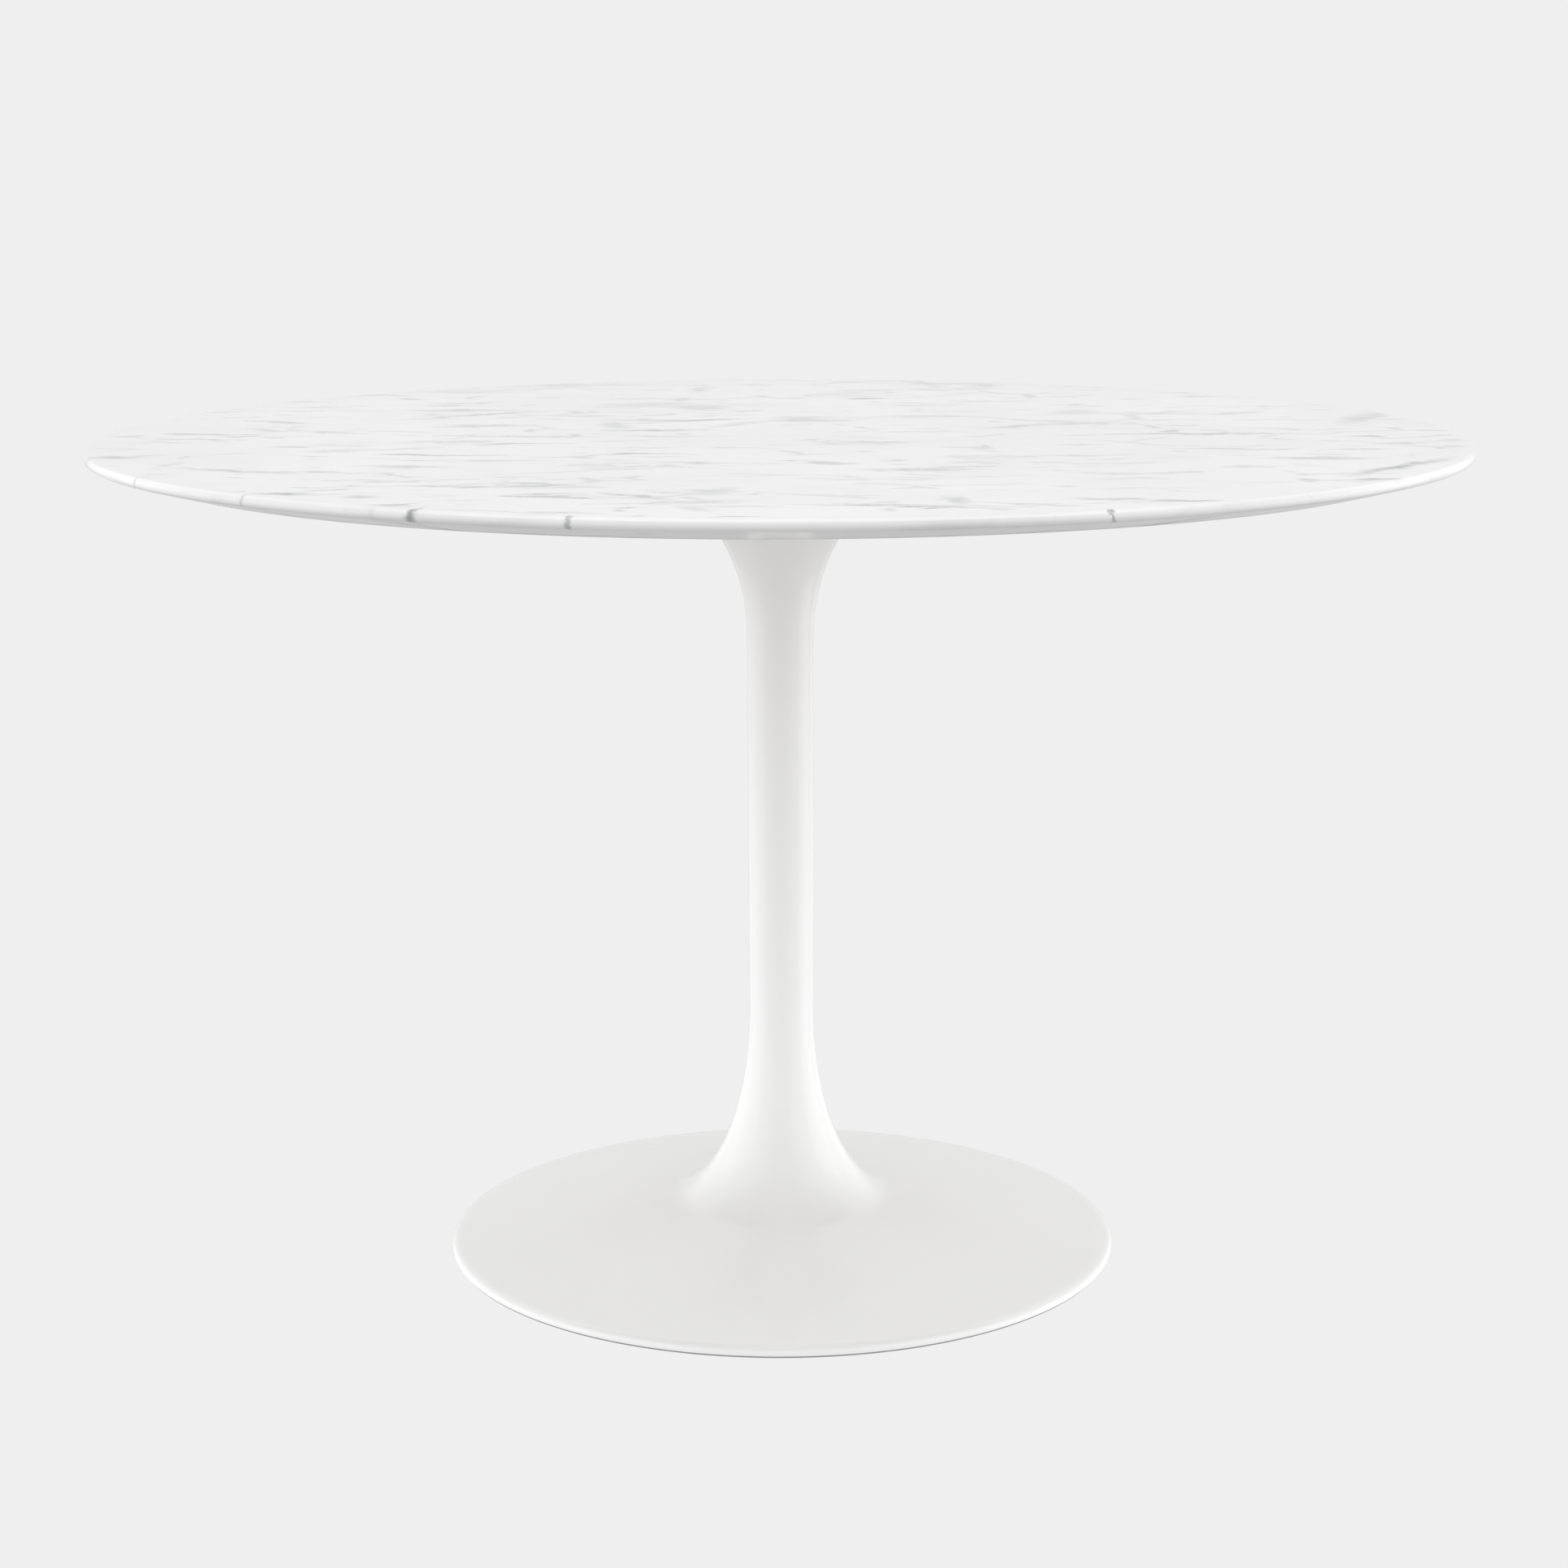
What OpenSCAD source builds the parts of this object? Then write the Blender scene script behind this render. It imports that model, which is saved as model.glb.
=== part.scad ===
// Round pedestal table: a stone top on a one-piece cast pedestal.
// Millimetres, +Z up. The origin is on the floor, under the centre of the pedestal.

/* [Table] */
// Height of the table from the floor to the stone
table_h = 740; // [725:5:755]
// Diameter of the stone top
top_d = 1200; // [1150:10:1300]

/* [Stone top] */
// Thickness of the stone slab
slab_t = 20; // [18:1:24]
// Radius of the rounding above the widest line of the edge
edge_round = 5; // [4:0.5:6]
// Radius of the rounding below the widest line of the edge
edge_under_round = 4.5; // [3.5:0.5:5]
// Width of the bevel that thins the edge from below
bevel_w = 45; // [35:1:60]

/* [Backing board] */
// Diameter of the plywood board glued under the stone
board_d = 660; // [600:10:720]
// Thickness of the board
board_t = 12; // [12:1:16]

/* [Spider] */
// Thickness of the steel spider plate
spider_t = 6; // [5:0.5:8]
// Radius from the centre to the inner row of screws
inner_screw_r = 165; // [150:5:180]
// Radius from the centre to the outer row of screws
outer_screw_r = 245; // [225:5:260]
// Number of arms
arms = 4; // [3:1:6]

/* [Pedestal] */
// Diameter of the foot disc
base_d = 606; // [596:2:630]
// Diameter of the stem at its waist
waist_d = 58; // [56:1:64]
// Diameter of the trumpet's mouth, under the spider
mouth_d = 207; // [200:1:215]
// Wall thickness of the casting
wall = 6; // [5:0.5:6.5]

/* [Levelling feet] */
// Number of levelling feet
feet = 4;
// Radius of the circle that the feet stand on
feet_r = 190; // [186:1:194]
// Diameter of a foot's pad
pad_d = 34; // [28:1:36]

/* [Hidden] */
$fn = 96;

// Levels, counted down from the stone
slab_z = table_h - slab_t;
board_z = slab_z - board_t;
mouth_z = board_z - spider_t;

// Threads are plain cylinders: a shaft and its hole differ by this on the radius
thread_gap = 0.05;
m12_r = 6;
m12_af = 18;
m8_r = 4;
m8_af = 13;
m6_r = 3;

// Foot of the pedestal
ring_t = 2;
base_r = base_d / 2;
shoulder_w = 10;
shoulder_h = 9;
disc_slope = 6;
root_r = 104;
root_z = 43.6;
root_slope = 12.1;
waist_r = waist_d / 2;
waist_z = 222;
neck_r = waist_r + 0.5;
neck_z = 561;
mouth_r = mouth_d / 2;
mouth_land = 3;
flange_t = 9;
hub_r = 30;

// Floor ring, with a tongue that sits in a groove in the rim's underside
ring_r = base_r - 1.5;
groove_r = [base_r - 9, base_r - 5];
groove_h = 3;

// Under the foot disc
seat_r = [126, 138];
seat_z = 23;
boss_r = 9;
boss_z = 8.5;
foot_hole_z = 22.7;

// Ballast disc, clamped against its seat by the tie rod
ballast_r = 150;
ballast_z = 9;
ballast_hub_r = 42;
ballast_hub_z = 40;
pocket_r = 25;
pocket_z = 26;
rod_washer_r = 18;
rod_washer_t = 3;
rod_nut_t = 10;

// Levelling feet, screwed fully in
pad_z = 0.6;
pad_t = 4.4;
pad_top_z = pad_z + pad_t;
socket_r = 5;
socket_z = 2.6;
foot_flange_t = 3;

// Screws that hold the board on the spider
arm_w = [70, 44];
screw_head_r = 5.25;
screw_head_t = 3.3;
washer_r = 6.5;
washer_t = 1.6;
insert_r = 4.5;
insert_l = 11;
screw_l = 14;

function bezier(c, t) =
    pow(1 - t, 3) * c[0] + 3 * pow(1 - t, 2) * t * c[1] + 3 * (1 - t) * t * t * c[2] + pow(t, 3) * c[3];
// n spans of a curve, without its first point
function curve(c, n) = [for (i = [1:n]) bezier(c, i / n)];
function arc(centre, r, a0, a1, n) =
    [for (i = [0:n]) let (a = a0 + (a1 - a0) * i / n) centre + r * [cos(a), sin(a)]];
function slant(angle, length) = length * [cos(angle), sin(angle)];

// Outer line of the pedestal, from the rim to the mouth, as [radius, height]
rim_bottom = [base_r, ring_t];
rim_top = [base_r, ring_t + 2];
disc_edge = [base_r - shoulder_w, shoulder_h];
root = [root_r, root_z];
waist = [waist_r, waist_z];
neck = [neck_r, neck_z];
mouth = [mouth_r, mouth_z - mouth_land];
shoulder_curve = [rim_top, rim_top + [0, 3.3], disc_edge + slant(-disc_slope, 5.5), disc_edge];
disc_curve = [disc_edge, disc_edge + slant(180 - disc_slope, 60), root + slant(-root_slope, 60), root];
flare_curve = [root, root + slant(180 - root_slope, 45), waist - [0, 97], waist];
mouth_curve = [neck, neck + [0, 78], mouth - [28.5, 12.8], mouth];
outer_line = concat(
    [rim_top], curve(shoulder_curve, 5), curve(disc_curve, 9),
    curve(flare_curve, 14), [neck], curve(mouth_curve, 12)
);

// Inner line: each point of the outer line moved in by the wall
function along(line, i) = line[min(i + 1, len(line) - 1)] - line[max(i - 1, 0)];
function inward(d) = [-d[1], d[0]] / norm(d);
function inner_point(line, i) = line[i] + wall * inward(along(line, i));
inner_line = [for (i = [len(outer_line) - 1:-1:0]) inner_point(outer_line, i)];
flange_z = mouth_z - flange_t;
skirt_r = groove_r[0] - 4;
cavity_line = [for (p = inner_line) if (p[1] < flange_z && p[0] < skirt_r - 1) p];

// Height of the middle of the foot disc's wall at radius r, for what is cast onto its underside
function mid_wall(r) = lookup(r, [for (p = outer_line) if (p[0] > root_r - 10 && p[1] < 60) p]) - wall / 2;

module turned(points) {
    rotate_extrude() polygon(points);
}

module tube(r, inner_r, z0, z1) {
    translate([0, 0, z0])
        difference() {
            cylinder(r = r, h = z1 - z0);
            translate([0, 0, -1]) cylinder(r = inner_r, h = z1 - z0 + 2);
        }
}

module hex_prism(across_flats, h) {
    cylinder(r = across_flats / 2 / cos(30), h = h, $fn = 6);
}

module at_feet(i) {
    rotate([0, 0, 45 + (i - 1) * 360 / feet]) translate([feet_r, 0, 0]) children();
}

module at_screws() {
    for (a = [0:arms - 1])
        for (r = [inner_screw_r, outer_screw_r])
            rotate([0, 0, a * 360 / arms]) translate([r, 0, 0]) children();
}

module marble_top() {
    r = top_d / 2;
    edge_z = table_h - edge_round;
    // The bevel runs from the underside to the lower rounding and meets it at a tangent
    to_centre = [bevel_w - edge_under_round, slab_t - edge_round];
    bevel_angle = atan2(to_centre[1], to_centre[0]) - asin(edge_under_round / norm(to_centre));
    color("whitesmoke")
        turned(concat(
            [[0, slab_z], [r - bevel_w, slab_z]],
            arc([r - edge_under_round, edge_z], edge_under_round, bevel_angle - 90, 0, 5),
            arc([r - edge_round, edge_z], edge_round, 15, 90, 5),
            [[0, table_h]]
        ));
}

module backing_board() {
    r = board_d / 2;
    chamfer = 3;
    color("burlywood")
        difference() {
            turned([
                [0, board_z], [r - chamfer, board_z], [r, board_z + chamfer],
                [r, slab_z], [0, slab_z]
            ]);
            at_screws() translate([0, 0, board_z - 1]) cylinder(r = insert_r, h = insert_l + 1);
        }
}

module threaded_inserts() {
    color("goldenrod")
        at_screws() tube(insert_r, m6_r + thread_gap, board_z, board_z + insert_l);
}

module spider_arm() {
    tip_r = outer_screw_r;
    translate([0, 0, mouth_z]) {
        linear_extrude(spider_t)
            polygon([
                [0, -arm_w[0] / 2], [tip_r, -arm_w[1] / 2],
                [tip_r, arm_w[1] / 2], [0, arm_w[0] / 2]
            ]);
        translate([tip_r, 0, 0]) cylinder(r = arm_w[1] / 2, h = spider_t);
    }
}

module spider() {
    color("dimgray")
        difference() {
            union() {
                translate([0, 0, mouth_z]) cylinder(r = mouth_r - 3, h = spider_t);
                for (a = [0:arms - 1]) rotate([0, 0, a * 360 / arms]) spider_arm();
            }
            at_screws() translate([0, 0, mouth_z - 1]) cylinder(r = m6_r + 0.4, h = spider_t + 2);
        }
}

module spider_hub() {
    hub_l = 22;
    chamfer = 1.5;
    r = hub_r - thread_gap;
    color("silver")
        turned([
            [m12_r + thread_gap, mouth_z - hub_l], [r - chamfer, mouth_z - hub_l],
            [r, mouth_z - hub_l + chamfer], [r, mouth_z], [m12_r + thread_gap, mouth_z]
        ]);
}

module spider_screws() {
    color("silver")
        at_screws() {
            translate([0, 0, mouth_z - washer_t - screw_head_t])
                difference() {
                    cylinder(r = screw_head_r, h = screw_head_t);
                    translate([0, 0, -1]) hex_prism(4, 3);
                }
            translate([0, 0, mouth_z - washer_t]) cylinder(r = m6_r, h = washer_t + screw_l);
        }
}

module spider_washers() {
    color("gainsboro")
        at_screws() tube(washer_r, m6_r + 0.2, mouth_z - washer_t, mouth_z);
}

module pedestal() {
    color("white")
        difference() {
            union() {
                turned(concat(
                    [rim_bottom], outer_line, [[mouth_r, mouth_z], [hub_r, mouth_z], [hub_r, flange_z]],
                    cavity_line,
                    [[skirt_r, ring_t], [groove_r[0], ring_t], [groove_r[0], ring_t + groove_h],
                    [groove_r[1], ring_t + groove_h], [groove_r[1], ring_t]]
                ));
                tube(seat_r[1], seat_r[0], seat_z, mid_wall(seat_r[1]));
                for (i = [1:feet])
                    at_feet(i) translate([0, 0, boss_z]) cylinder(r = boss_r, h = mid_wall(feet_r + boss_r) - boss_z);
            }
            for (i = [1:feet])
                at_feet(i) translate([0, 0, boss_z - 1]) cylinder(r = m8_r + thread_gap, h = foot_hole_z - boss_z + 1);
        }
}

module tie_rod() {
    rod_z = [pocket_z - rod_washer_t - rod_nut_t - 2, mouth_z - 2];
    color("silver")
        translate([0, 0, rod_z[0]]) cylinder(r = m12_r, h = rod_z[1] - rod_z[0]);
}

module ballast_disc() {
    bore_r = m12_r + 0.6;
    chamfer = 3;
    color("darkslategray")
        turned([
            [pocket_r, ballast_z], [ballast_r - chamfer, ballast_z], [ballast_r, ballast_z + chamfer],
            [ballast_r, seat_z], [ballast_hub_r + 10, seat_z], [ballast_hub_r, ballast_hub_z],
            [bore_r, ballast_hub_z], [bore_r, pocket_z], [pocket_r, pocket_z]
        ]);
}

module rod_washer() {
    color("silver")
        tube(rod_washer_r, m12_r + 0.5, pocket_z - rod_washer_t, pocket_z);
}

module rod_nut() {
    nut_z = pocket_z - rod_washer_t - rod_nut_t;
    color("silver")
        translate([0, 0, nut_z])
            difference() {
                hex_prism(m12_af, rod_nut_t);
                translate([0, 0, -1]) cylinder(r = m12_r + thread_gap, h = rod_nut_t + 2);
            }
}

module floor_ring() {
    gap = 0.1;
    tongue_z = ring_t + groove_h - gap;
    color("gray")
        turned([
            [skirt_r + 1, 0], [ring_r, 0], [ring_r, ring_t], [groove_r[1] - gap, ring_t],
            [groove_r[1] - gap, tongue_z], [groove_r[0] + gap, tongue_z],
            [groove_r[0] + gap, ring_t], [skirt_r + 1, ring_t]
        ]);
}

module foot_pad(i) {
    r = pad_d / 2;
    chamfer = 1.2;
    color("black")
        at_feet(i)
            turned([
                [0, pad_z], [r - chamfer, pad_z], [r, pad_z + chamfer], [r, pad_top_z - chamfer],
                [r - chamfer, pad_top_z], [socket_r, pad_top_z], [socket_r, socket_z], [0, socket_z]
            ]);
}

module foot_stud(i) {
    gap = 0.1;
    pivot_z = socket_z + gap;
    hex_z = pad_top_z + gap;
    stud_z = hex_z + foot_flange_t;
    tip_z = foot_hole_z - 0.6;
    color("silver")
        at_feet(i) {
            translate([0, 0, pivot_z]) cylinder(r = socket_r - thread_gap, h = hex_z - pivot_z);
            translate([0, 0, hex_z]) hex_prism(m8_af, foot_flange_t);
            translate([0, 0, stud_z]) cylinder(r = m8_r, h = tip_z - stud_z);
        }
}

marble_top();
backing_board();
threaded_inserts();
spider();
spider_hub();
spider_screws();
spider_washers();
pedestal();
tie_rod();
ballast_disc();
rod_washer();
rod_nut();
floor_ring();
for (i = [1:feet]) foot_pad(i);
for (i = [1:feet]) foot_stud(i);
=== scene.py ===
"""The looks of a round pedestal table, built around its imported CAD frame. Metres, +Z up, camera along +Y."""
import math

import bmesh
import bpy
from mathutils import Matrix, Vector, noise


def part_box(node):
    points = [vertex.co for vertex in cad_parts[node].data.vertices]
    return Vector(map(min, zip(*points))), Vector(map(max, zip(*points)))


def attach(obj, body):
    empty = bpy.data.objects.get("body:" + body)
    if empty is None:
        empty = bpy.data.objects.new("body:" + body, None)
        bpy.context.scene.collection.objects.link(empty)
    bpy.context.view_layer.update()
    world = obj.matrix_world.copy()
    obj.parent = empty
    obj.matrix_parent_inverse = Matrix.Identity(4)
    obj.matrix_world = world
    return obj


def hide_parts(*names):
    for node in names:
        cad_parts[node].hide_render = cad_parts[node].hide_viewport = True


MM = 0.001
TAU = 2 * math.pi

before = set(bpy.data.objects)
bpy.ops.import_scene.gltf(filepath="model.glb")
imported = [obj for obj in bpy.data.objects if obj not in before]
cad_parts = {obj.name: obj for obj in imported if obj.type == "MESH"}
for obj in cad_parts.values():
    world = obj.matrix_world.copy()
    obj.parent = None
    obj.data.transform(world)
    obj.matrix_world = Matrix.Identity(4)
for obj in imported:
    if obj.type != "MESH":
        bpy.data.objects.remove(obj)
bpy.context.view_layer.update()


# ---------------------------------------------------------------- the frame's sizes

TOP_LOW, TOP_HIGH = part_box("marble_top")
BOARD_LOW, BOARD_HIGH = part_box("backing_board")
PEDESTAL_LOW, PEDESTAL_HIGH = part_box("pedestal")
SPIDER_LOW, SPIDER_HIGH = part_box("spider")
HUB_LOW, HUB_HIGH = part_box("spider_hub")
SCREWS_LOW, SCREWS_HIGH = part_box("spider_screws")
WASHERS_LOW, WASHERS_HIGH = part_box("spider_washers")
INSERTS_LOW, INSERTS_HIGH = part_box("threaded_inserts")
ROD_LOW, ROD_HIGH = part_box("tie_rod")
BALLAST_LOW, BALLAST_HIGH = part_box("ballast_disc")
ROD_WASHER_LOW, ROD_WASHER_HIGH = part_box("rod_washer")
ROD_NUT_LOW, ROD_NUT_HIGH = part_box("rod_nut")
RING_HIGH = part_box("floor_ring")[1]

TOP_R = TOP_HIGH.x
BASE_R = PEDESTAL_HIGH.x
MOUTH_Z = PEDESTAL_HIGH.z
MOUTH_R = 103.5 * MM
TAPPED_R = 6.05 * MM  # bore of the hub and the nut on the M12 rod
SEAT_Z = 23 * MM  # where the ballast bears on the casting


# ---------------------------------------------------------------- mesh tools

def bezier(a, b, c, d, spans):
    """Points of a cubic curve in the (radius, height) plane, without its first point."""
    points = []
    for i in range(1, spans + 1):
        t = i / spans
        weights = ((1 - t) ** 3, 3 * (1 - t) ** 2 * t, 3 * (1 - t) * t * t, t ** 3)
        points.append(tuple(sum(w * p[k] for w, p in zip(weights, (a, b, c, d))) for k in (0, 1)))
    return points


def arc(centre, radius, start, end, spans=6):
    """Points of an arc in the (radius, height) plane, from one angle to another, in degrees."""
    angles = [math.radians(start + (end - start) * i / spans) for i in range(spans + 1)]
    return [(centre[0] + radius * math.cos(a), centre[1] + radius * math.sin(a)) for a in angles]


def ladder(radius, low, high, steps):
    """Points straight up at one radius, close enough together to take a thread's shape."""
    return [(radius, low + (high - low) * i / steps) for i in range(steps + 1)]


def rounded(outline, radius):
    """The closed outline with each corner off the axis rounded, where its sides leave room."""
    result = []
    count, spans = len(outline), 3
    for i, corner in enumerate(outline):
        here = Vector(corner)
        before, after = Vector(outline[i - 1]) - here, Vector(outline[(i + 1) % count]) - here
        reach = min(radius, 0.4 * before.length, 0.4 * after.length)
        if here.x < 1e-6 or before.angle(after) > math.radians(170):
            result.append(corner)
            continue
        start, end = here + before.normalized() * reach, here + after.normalized() * reach
        for k in range(spans + 1):
            t = k / spans
            result.append(tuple(start * (1 - t) ** 2 + here * 2 * t * (1 - t) + end * t * t))
    return result


def stepped(outline, step):
    """The outline with each side longer than step cut into equal lengths.
    A side along the axis stays whole."""
    result = []
    for i, start in enumerate(outline):
        start, end = Vector(start), Vector(outline[(i + 1) % len(outline)])
        cuts = 1 if start.x + end.x < 1e-6 else max(1, math.ceil((end - start).length / step))
        result.extend(tuple(start.lerp(end, k / cuts)) for k in range(cuts))
    return result


def finished(bm, name, sharp=32):
    """Makes an object of a bmesh, smooth but for its edges sharper than an angle in degrees."""
    bmesh.ops.recalc_face_normals(bm, faces=bm.faces)
    mesh = bpy.data.meshes.new(name)
    bm.to_mesh(mesh)
    bm.free()
    obj = bpy.data.objects.new(name, mesh)
    bpy.context.scene.collection.objects.link(obj)
    shade(obj, sharp)
    return obj


def shade(obj, sharp=32):
    mesh = obj.data
    mesh.polygons.foreach_set("use_smooth", [True] * len(mesh.polygons))
    mesh.set_sharp_from_angle(angle=math.radians(sharp))


def turned(name, outline, sides=96, shape=None, at=(0, 0), sharp=32, into=None):
    """A closed solid turned about an upright axis at a place. outline is a closed loop of (radius, height).
    shape(radius, height, angle) gives the radius where it isn't round. into is a bmesh to add it to."""
    bm = into or bmesh.new()
    shape = shape or (lambda r, z, a: r)
    rings = []
    for r, z in outline:
        if r < 1e-7:
            rings.append([bm.verts.new((at[0], at[1], z))])
            continue
        ring = []
        for i in range(sides):
            a = TAU * i / sides
            reach = shape(r, z, a)
            ring.append(bm.verts.new((at[0] + reach * math.cos(a), at[1] + reach * math.sin(a), z)))
        rings.append(ring)
    for low, high in zip(rings, rings[1:] + rings[:1]):
        for i in range(sides):
            j = (i + 1) % sides
            corners = [low[i % len(low)], low[j % len(low)], high[j % len(high)], high[i % len(high)]]
            corners = list(dict.fromkeys(corners))
            if len(corners) > 2:
                bm.faces.new(corners)
    return None if into else finished(bm, name, sharp)


def hexagon(across_flats):
    """A shape for turned(): the outline's radius, cut back to a hexagon's flats."""
    def shape(r, z, a):
        off_flat = (a + TAU / 12) % (TAU / 6) - TAU / 12
        return min(r, across_flats / 2 / math.cos(TAU / 12 - abs(off_flat)))
    return shape


def threaded(pitch, depth, low, high, crest):
    """A shape for turned(): a right-hand thread cut into radius crest between two heights."""
    def shape(r, z, a):
        if r < crest - depth or not low <= z <= high:
            return r
        turn = ((z - low) / pitch - a / TAU) % 1
        ends = min(1, (z - low) / pitch, (high - z) / pitch)
        # 0 on the crest and 1 in the root, with a narrow flat on each
        groove = min(1, max(0, 2.6 * abs(turn - 0.5) - 0.15))
        return r - depth * ends * groove
    return shape


def settle(obj):
    """Applies the object's modifiers to its mesh."""
    graph = bpy.context.evaluated_depsgraph_get()
    mesh = bpy.data.meshes.new_from_object(obj.evaluated_get(graph))
    obj.modifiers.clear()
    obj.data = mesh


def combined(obj, other, operation, sharp=32):
    """The union with another solid, or the difference from it. The other solid is used up."""
    modifier = obj.modifiers.new("combine", "BOOLEAN")
    modifier.operation = operation
    modifier.object = other
    modifier.solver = "MANIFOLD"
    settle(obj)
    bpy.data.objects.remove(other)
    shade(obj, sharp)
    return obj


def hand_over(obj, body, node, material):
    """Gives a finished piece its material, the body it rides on and the CAD node it stands for."""
    obj.data.materials.clear()
    obj.data.materials.append(material)
    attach(obj, body)
    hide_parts(node)


# ---------------------------------------------------------------- materials

def add_node(tree, kind, inputs=(), **settings):
    """Adds a node to a tree. Each input is a value, or the output socket of another node."""
    made = tree.nodes.new(kind)
    for key, value in settings.items():
        setattr(made, key, value)
    for key, value in dict(inputs).items():
        if isinstance(value, bpy.types.NodeSocket):
            tree.links.new(value, made.inputs[key])
        else:
            made.inputs[key].default_value = value
    return made


NOISE_SPAN = (0.3, 0.7)  # most of a noise's values lie between these


class Finish:
    """A material built from nodes round one Principled shader."""

    def __init__(self, name, **sockets):
        self.material = bpy.data.materials.new(name)
        self.material.use_nodes = True
        self.tree = self.material.node_tree
        self.shader = self.tree.nodes["Principled BSDF"]
        for socket, value in sockets.items():
            self.shader.inputs[socket.replace("_", " ")].default_value = value
        self.place = self.node("ShaderNodeTexCoord").outputs["Object"]

    def node(self, kind, inputs=(), **settings):
        return add_node(self.tree, kind, inputs, **settings)

    def sum(self, operation, a, b=0.0, c=0.0):
        return self.node("ShaderNodeMath", {0: a, 1: b, 2: c}, operation=operation).outputs[0]

    def vector(self, operation, a, b=(0, 0, 0), output=0):
        return self.node("ShaderNodeVectorMath", {0: a, 1: b}, operation=operation).outputs[output]

    def noise(self, scale, detail=3.0, roughness=0.5, place=None, output="Fac"):
        inputs = {"Vector": place or self.place, "Scale": scale, "Detail": detail, "Roughness": roughness}
        return self.node("ShaderNodeTexNoise", inputs).outputs[output]

    def off_axis(self, place):
        """How far a place is from the upright axis."""
        return self.vector("LENGTH", self.vector("MULTIPLY", place, (1, 1, 0)), output=1)

    def warped(self, scale, roughness, amount):
        """The object's place, moved about by noise."""
        shift = self.vector("SUBTRACT", self.noise(scale, 4, roughness, output="Color"), (0.5, 0.5, 0.5))
        moved = self.vector("MULTIPLY_ADD", shift, (amount, amount, amount))
        self.tree.links.new(self.place, moved.node.inputs[2])
        return moved

    def stretched(self, x, y, z, place=None):
        return self.vector("MULTIPLY", place or self.place, (x, y, z))

    def span(self, value, low, high, to_low=0.0, to_high=1.0, smooth=False):
        inputs = {"Value": value, "From Min": low, "From Max": high, "To Min": to_low, "To Max": to_high}
        kind = "SMOOTHSTEP" if smooth else "LINEAR"
        return self.node("ShaderNodeMapRange", inputs, interpolation_type=kind).outputs[0]

    def blend(self, factor, a, b):
        return self.node("ShaderNodeMix", {0: factor, 6: a, 7: b}, data_type="RGBA").outputs[2]

    def mottle(self, scale, detail, a, b):
        """Two colours mixed by noise."""
        return self.blend(self.span(self.noise(scale, detail), *NOISE_SPAN), a, b)

    def roughen(self, scale, detail, low, high):
        """Lets the roughness vary by noise between two values."""
        self.set("Roughness", self.span(self.noise(scale, detail), *NOISE_SPAN, low, high))

    def set(self, socket, value):
        self.tree.links.new(value, self.shader.inputs[socket])

    def bump(self, height, distance):
        """Relief from a height. distance is how far a height of 1 stands out, in metres."""
        self.set("Normal", self.node("ShaderNodeBump", {"Height": height, "Distance": distance}).outputs[0])


# Veins that show as single marks on the stone: centre x, y, length, width in mm, angle in degrees, strength
VEINS = [
    (-372, -436, 44, 20, 5, 1.0),
    (-280, 200, 190, 16, 33, 0.8),
    (-150, 90, 34, 90, 10, 0.5),
    (-110, 45, 110, 20, 4, 0.8),
    (-40, 100, 90, 22, 50, 0.5),
    (20, 145, 60, 40, 0, 0.6),
    (-300, 245, 110, 26, 0, 0.7),
    (-265, 90, 120, 30, 8, 0.6),
    (-400, 35, 80, 18, -25, 0.6),
    (-230, -8, 150, 14, -4, 0.7),
    (-430, -280, 120, 20, -20, 0.7),
    (-370, -125, 60, 30, 15, 0.5),
    (80, -65, 80, 16, -5, 0.7),
    (110, -280, 110, 30, 0, 0.7),
    (360, 0, 200, 14, 2, 0.9),
    (345, 25, 20, 40, -20, 0.7),
    (492, -272, 175, 22, 50, 1.0),
    (440, -205, 110, 26, 0, 0.7),
    (460, -360, 40, 22, 25, 0.9),
    (405, -365, 24, 20, 0, 0.7),
    (215, 75, 90, 20, 30, 0.6),
    (530, -85, 70, 18, 20, 0.6),
    (540, 150, 40, 150, -25, 0.5),
    (280, 210, 60, 60, 30, 0.4),
    (430, 195, 70, 26, 20, 0.5),
    (-75, 270, 60, 90, 30, 0.5),
    (-130, 300, 110, 60, 20, 0.4),
    (-110, -455, 70, 18, -35, 0.8),
    (-70, -495, 100, 16, 12, 0.7),
    (-50, -430, 60, 30, 60, 0.5),
    (60, -515, 110, 14, -6, 0.7),
    (80, -545, 16, 24, 0, 0.5),
    (130, -490, 20, 60, 10, 0.6),
    (185, -515, 90, 14, -20, 0.5),
    (-190, -375, 80, 16, -12, 0.6),
    (-300, -360, 60, 24, 0, 0.5),
    (-300, -250, 80, 24, -8, 0.6),
    (270, -315, 80, 20, -10, 0.4),
    (-550, -175, 60, 24, 0, 0.6),
    (-460, 130, 80, 20, -20, 0.6),
    (-220, 525, 50, 60, 0, 0.4),
    (-310, 450, 130, 40, 0, 0.4),
    (-80, 470, 24, 90, -10, 0.5),
    (60, 420, 130, 40, 35, 0.3),
    (210, 510, 40, 80, 0, 0.4),
    (415, 375, 50, 40, 0, 0.5),
    (-265, -540, 40, 9, 64, 0.75),
    (-149, -582, 18, 5, 76, 0.55),
    (237, -552, 30, 4, 113, 0.75),
    (-400, -447, 16, 5, 48, 0.4),
    (-506, -322, 40, 7, 33, 0.6),
]


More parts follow.
